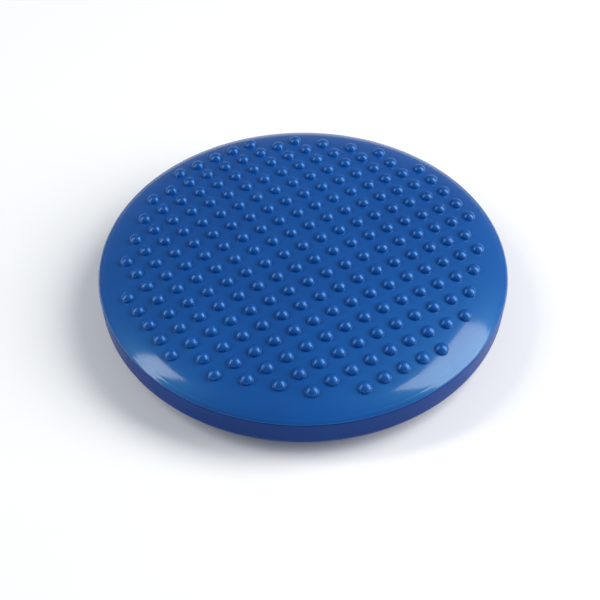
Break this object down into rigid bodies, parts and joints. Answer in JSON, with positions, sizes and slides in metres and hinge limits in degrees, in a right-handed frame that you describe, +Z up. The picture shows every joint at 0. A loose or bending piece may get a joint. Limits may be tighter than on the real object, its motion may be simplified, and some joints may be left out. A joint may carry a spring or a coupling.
{
  "type": "balance board",
  "caption": "Round air-filled balance cushion with a nubbed domed top, smooth rolled rim, soft side wall, flat-bottomed base and a plugged inflation valve.",
  "frame": {"origin": "on the floor under the middle of the disc, in the plane of the flat resting face", "axes": "+Z up, along the disc's own axis and its shortest side; +Y towards the inflation valve; +X to the right seen from the side opposite the valve"},
  "size_m": [0.33, 0.33, 0.0627],
  "materials": {
    "top_skin": "gloss",
    "border_band": "gloss",
    "rim_ring": "gloss",
    "wall_band": "gloss",
    "base_shell": "satin",
    "valve_seat": "satin",
    "valve_plug": "satin"
  },
  "bodies": {
    "base": {"base_shell": "base_shell", "wall_band": "wall_band", "valve_seat": "valve_seat"},
    "rim": {"rim_ring": "rim_ring", "border_band": "border_band"},
    "top": {"top_skin": "top_skin"},
    "plug": {"valve_plug": "valve_plug"}
  },
  "joints": [
    {"name": "tilt_front_back", "type": "hinge", "parent": "base", "child": "rim", "pos_m": [0, 0, 0.0282], "axis": [1, 0, 0], "range_deg": [-3, 3], "stiffness_Nm_per_rad": 120, "deforming": ["wall_band"]},
    {"name": "tilt_side_side", "type": "hinge", "parent": "rim", "child": "top", "pos_m": [0, 0, 0.0282], "axis": [0, 1, 0], "range_deg": [-3, 3], "stiffness_Nm_per_rad": 120, "deforming": ["border_band"]},
    {"name": "plug_pull", "type": "slide", "parent": "base", "child": "plug", "axis": [0, 1, 0], "range_m": [0, 0.02]}
  ]
}
